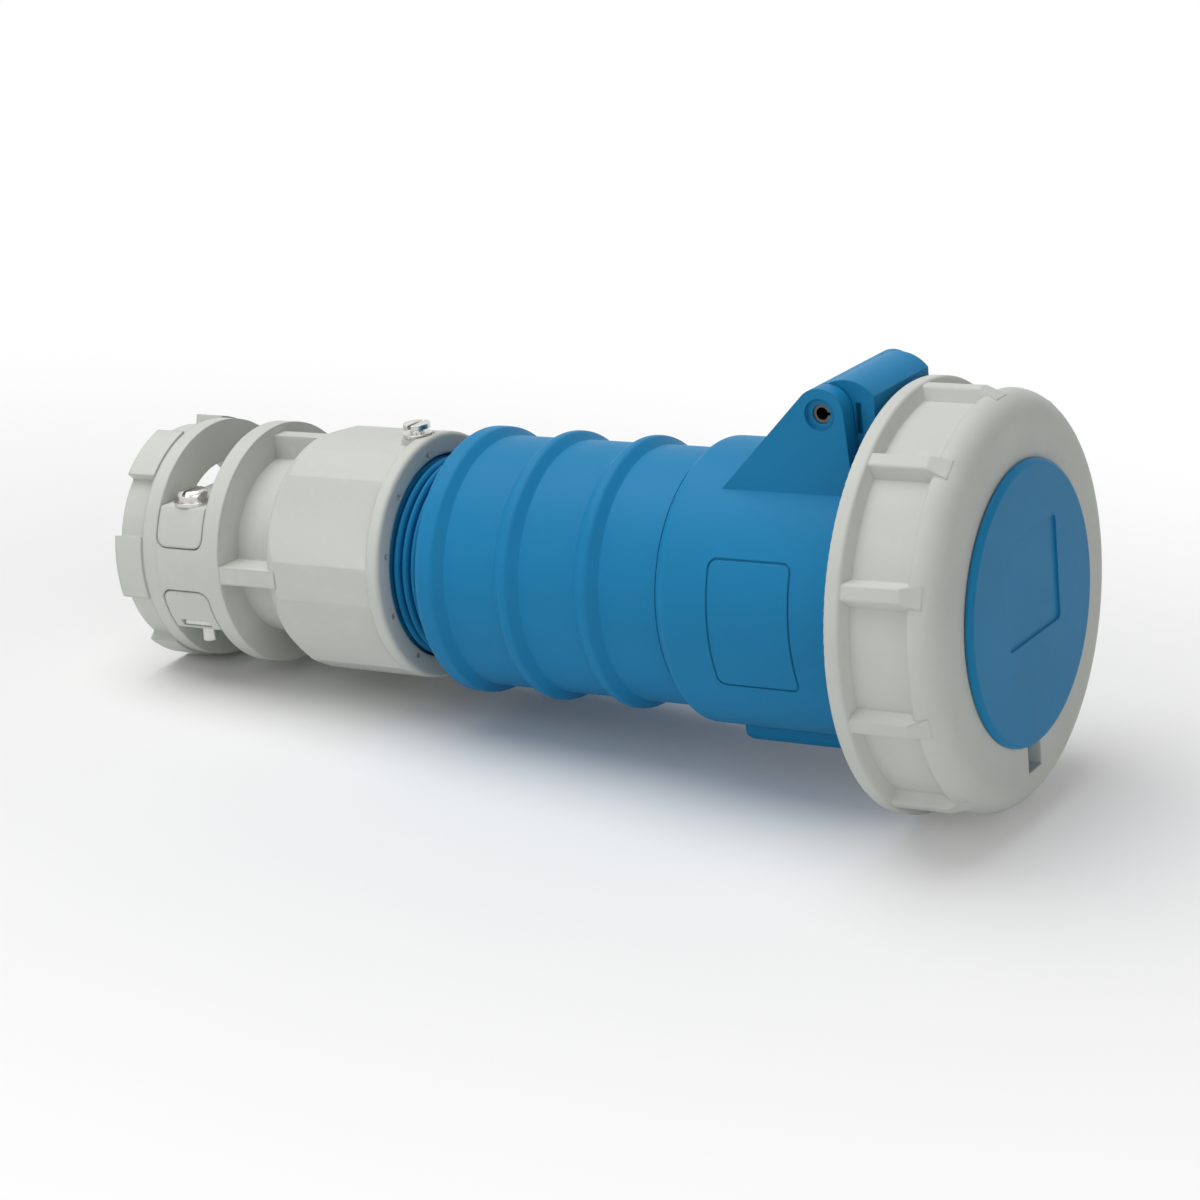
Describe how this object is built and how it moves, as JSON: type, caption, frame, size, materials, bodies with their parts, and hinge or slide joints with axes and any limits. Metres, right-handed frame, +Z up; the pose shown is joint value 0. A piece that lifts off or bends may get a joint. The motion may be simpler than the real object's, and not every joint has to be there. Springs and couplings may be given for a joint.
{
  "type": "pin and sleeve connector",
  "caption": "Round cable connector with ribbed grip, sprung lid with a bayonet grip ring, slit contact sleeves inside, and a cable gland with clamp jaws.",
  "frame": {"origin": "middle of the base of the part's box, on the surface it lies on", "axes": "+X towards the lid, +Z up, hinge on top; the connector's own axis slopes about 5 degrees, as it lies"},
  "size_m": [0.2722, 0.112, 0.1141],
  "materials": {
    "blue_plastic": "satin",
    "grey_plastic": "satin",
    "dark_plastic": "matte",
    "contact_brass": "satin",
    "steel": "satin",
    "seal_rubber": "matte"
  },
  "bodies": {
    "connector": {"socket_collar": "blue_plastic", "grip_housing": "blue_plastic", "contact_insert": "dark_plastic", "insert_base": "dark_plastic", "insert_cover": "dark_plastic", "insert_screws": "steel", "cover_screws": "steel", "terminal_screws": "steel", "hinge_pin": "steel", "gland_housing": "grey_plastic", "gland_grommet": "seal_rubber", "thrust_washer": "steel", "lock_screw": "steel", "live_sleeve": "contact_brass", "neutral_sleeve": "contact_brass", "earth_sleeve": "contact_brass", "pilot_sleeve": "contact_brass"},
    "lid": {"lid": "blue_plastic", "lid_gasket": "seal_rubber", "front_disc": "blue_plastic", "disc_screws": "steel", "hinge_spring": "steel"},
    "ring": {"bayonet_ring": "grey_plastic"},
    "upper_jaw": {"clamp_jaw_upper": "grey_plastic", "clamp_screws": "steel", "clamp_washers": "steel"},
    "lower_jaw": {"clamp_jaw_lower": "grey_plastic", "clamp_nuts": "steel"}
  },
  "joints": [
    {"name": "lid_hinge", "type": "hinge", "parent": "connector", "child": "lid", "pos_m": [0.08297, 0, 0.106], "axis": [0, -1, 0], "range_deg": [0, 120], "stiffness_Nm_per_rad": 0.12, "springref_deg": -91.67},
    {"name": "ring_turn", "type": "hinge", "parent": "lid", "child": "ring", "pos_m": [0.10259, 0, 0.05569], "axis": [-0.9957, 0, -0.0922], "range_deg": [0, 40]},
    {"name": "upper_jaw_slide", "type": "slide", "parent": "connector", "child": "upper_jaw", "axis": [-0.0922, 0, 0.9957], "range_m": [0, 0.002]},
    {"name": "lower_jaw_slide", "type": "slide", "parent": "connector", "child": "lower_jaw", "axis": [0.0922, 0, -0.9957], "range_m": [0, 0.002]}
  ],
  "couplings": [
    {"joint": "lower_jaw_slide", "follows": "upper_jaw_slide", "ratio": 1}
  ]
}
